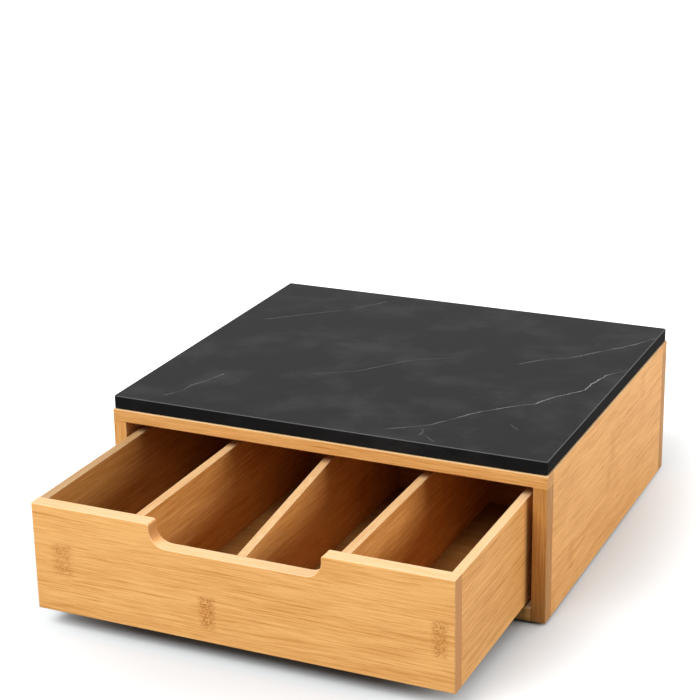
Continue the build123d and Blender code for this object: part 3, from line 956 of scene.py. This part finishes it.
def add_floor(settings):
    """A wide flat floor that keeps the object's shadow.

    Where it is seen it also gives off light: none right under the object, a little round it, and
    plain white far from it. The light that it throws on the object is that of its bounce colour."""
    mesh = bpy.data.meshes.new("studio_floor")
    signs = ((-1, -1), (1, -1), (1, 1), (-1, 1))
    corners = [(FLOOR_HALF * x_sign, FLOOR_HALF * y_sign, 0.0) for x_sign, y_sign in signs]
    mesh.from_pydata(corners, [], [(0, 1, 2, 3)])
    floor = bpy.data.objects.new("studio_floor", mesh)
    bpy.context.scene.collection.objects.link(floor)
    material, graph, shader = new_material("studio_floor")
    seen = seen_rays(graph)
    graph.feed(shader.inputs["Base Color"], graph.mix(seen, settings.bounce, settings.floor))
    shader.inputs["Roughness"].default_value = 0.9
    shader.inputs["Specular IOR Level"].default_value = 0.0
    position = graph.node("ShaderNodeTexCoord").outputs["Object"]
    occlusion = graph.node(
        "ShaderNodeAmbientOcclusion", {"Distance": settings.shade_reach}, samples=OCCLUSION_SAMPLES
    )
    openness = graph.ramp(occlusion.outputs["AO"], 0.08, 0.54)
    near = graph.mix(openness, (0.0, 0.0, 0.0), settings.lift)
    _, high = cad_bounds
    in_halves = graph.scaled(position, (1.0 / high[0], 1.0 / high[1], 0.0))
    length = graph.node("ShaderNodeVectorMath", {0: in_halves}, operation="LENGTH")
    clear = graph.ramp(length.outputs["Value"], 1.0, settings.clear_reach)
    graph.feed(shader.inputs["Emission Color"], graph.mix(clear, near, (1.0, 1.0, 1.0)))
    graph.feed(shader.inputs["Emission Strength"], seen)
    mesh.materials.append(material)


def add_sky(settings):
    """An even grey light all round, white where it is seen."""
    world = bpy.data.worlds.new("studio_sky")
    world.use_nodes = True
    graph = Graph(world.node_tree)
    background = world.node_tree.nodes["Background"]
    background.inputs["Color"].default_value = (1.0, 1.0, 1.0, 1.0)
    strength = graph.node(
        "ShaderNodeMapRange", {"Value": seen_rays(graph), "To Min": settings.sky, "To Max": 1.0}
    )
    graph.feed(background.inputs["Strength"], strength.outputs["Result"])
    bpy.context.scene.world = world


def add_lamp(name, place, width, height, power, colour):
    """A soft rectangular lamp that points at the target."""
    light = bpy.data.lights.new(name, "AREA")
    light.shape = "RECTANGLE"
    light.size = width
    light.size_y = height
    light.energy = power
    light.color = colour
    lamp = bpy.data.objects.new(name, light)
    turn = (Vector(LAMP_TARGET) - Vector(place)).to_track_quat("-Z", "Y").to_matrix().to_4x4()
    lamp.matrix_world = Matrix.Translation(place) @ turn
    bpy.context.scene.collection.objects.link(lamp)


def add_camera():
    """The camera: it looks down and to the left from the front right, rolled slightly."""
    turn = Matrix(camera_axes()).transposed().to_4x4()
    data = bpy.data.cameras.new("studio_camera")
    data.sensor_width = CAMERA_SENSOR
    data.lens = CAMERA_LENS
    camera = bpy.data.objects.new("studio_camera", data)
    camera.matrix_world = Matrix.Translation(CAMERA_PLACE) @ turn
    bpy.context.scene.collection.objects.link(camera)
    bpy.context.scene.camera = camera


class POD_OT_studio(bpy.types.Operator):
    """Floor, sky, four soft lamps and the camera"""

    bl_idname = "pod.studio"
    bl_label = "Studio"

    def execute(self, context):
        settings = context.scene.pod_studio
        context.scene.view_settings.view_transform = "Standard"
        add_floor(settings)
        add_sky(settings)
        for name, place, width, height in LAMPS:
            power = getattr(settings, f"{name}_power")
            tint = settings.fill_tint if name == "fill" else (1.0, 1.0, 1.0)
            add_lamp(f"{name}_lamp", place, width, height, power, tint)
        add_camera()
        return {"FINISHED"}


# ---------------------------------------------------------------------------
# Panel and registration
# ---------------------------------------------------------------------------

OPERATORS = (
    POD_OT_stone_top,
    POD_OT_pads,
    POD_OT_case_boards,
    POD_OT_case_frames,
    POD_OT_drawer_front,
    POD_OT_drawer_boards,
    POD_OT_dividers,
    POD_OT_feet,
    POD_OT_dowels,
    POD_OT_studio,
)

SETTINGS = (
    ("pod_bamboo", BambooSettings),
    ("pod_stone", StoneSettings),
    ("pod_trim", TrimSettings),
    ("pod_studio", StudioSettings),
)


class POD_PT_panel(bpy.types.Panel):
    """Lists the steps that dress the coffee pod drawer"""

    bl_idname = "POD_PT_panel"
    bl_label = "Coffee Pod Drawer"
    bl_space_type = "VIEW_3D"
    bl_region_type = "UI"
    bl_category = "Pod Drawer"

    def draw(self, context):
        for attribute, settings in SETTINGS:
            box = self.layout.box()
            for name in settings.__annotations__:
                box.prop(getattr(context.scene, attribute), name)
        for operator in OPERATORS:
            self.layout.operator(operator.bl_idname)


def register():
    """Makes the settings, operators and panel known."""
    for attribute, settings in SETTINGS:
        bpy.utils.register_class(settings)
        setattr(bpy.types.Scene, attribute, PointerProperty(type=settings))
    for operator in OPERATORS:
        bpy.utils.register_class(operator)
    bpy.utils.register_class(POD_PT_panel)


def unregister():
    """Takes them away again."""
    bpy.utils.unregister_class(POD_PT_panel)
    for operator in reversed(OPERATORS):
        bpy.utils.unregister_class(operator)
    for attribute, settings in reversed(SETTINGS):
        delattr(bpy.types.Scene, attribute)
        bpy.utils.unregister_class(settings)


def main():
    """Runs every step in order."""
    register()
    for operator in OPERATORS:
        family, step = operator.bl_idname.split(".")
        getattr(getattr(bpy.ops, family), step)()


if __name__ == "__main__":
    main()
